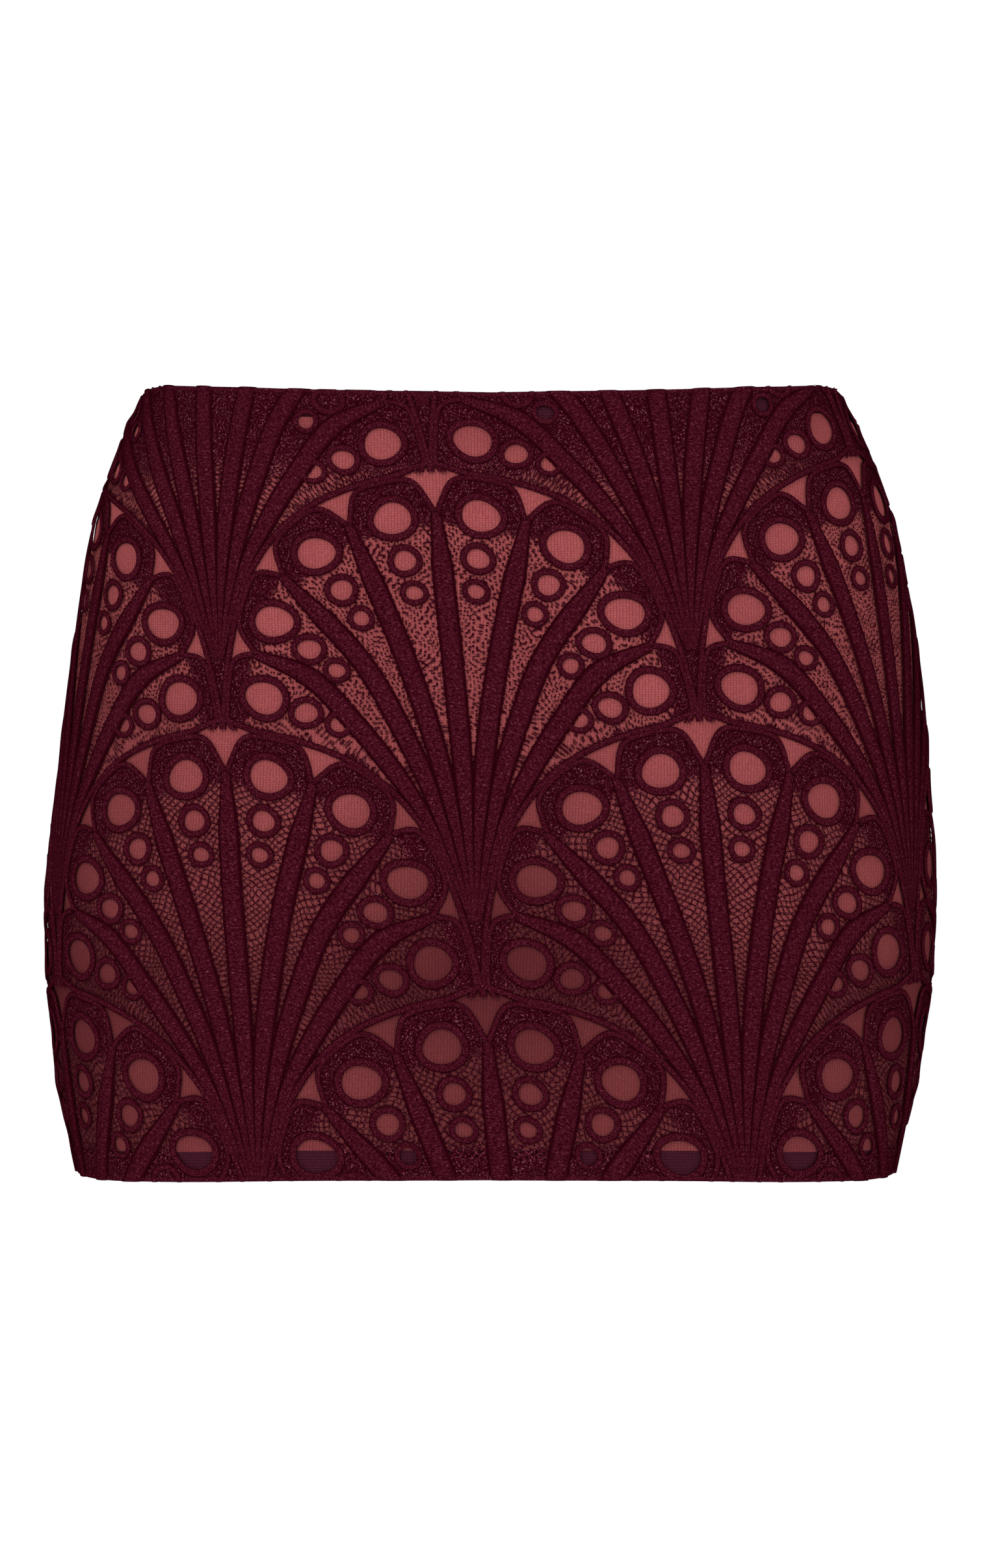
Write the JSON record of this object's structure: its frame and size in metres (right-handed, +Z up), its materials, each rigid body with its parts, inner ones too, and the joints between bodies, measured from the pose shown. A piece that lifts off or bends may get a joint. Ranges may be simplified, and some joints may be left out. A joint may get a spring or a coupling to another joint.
{
  "type": "lace mini skirt",
  "caption": "Fitted mini skirt in openwork fan lace over a knit lining, filled out as worn, hollow and open at the waist and the hem.",
  "frame": {"origin": "the middle of the waist opening, where the wearer's waist holds the skirt", "axes": "+Z up, out of the waist opening; the front of the skirt faces -Y; +X is the wearer's left"},
  "size_m": [0.3666, 0.2512, 0.3228],
  "materials": {
    "lace": "satin-stitched cotton-like thread, matt",
    "lining_knit": "fine matt knit",
    "elastic_and_tape": "matt woven strip"
  },
  "bodies": {
    "root": {"lace_front": "lace", "lace_back": "lace", "lining_front": "lining_knit", "lining_back": "lining_knit", "waist_elastic": "elastic_and_tape", "hem_tape": "elastic_and_tape"}
  },
  "joints": []
}
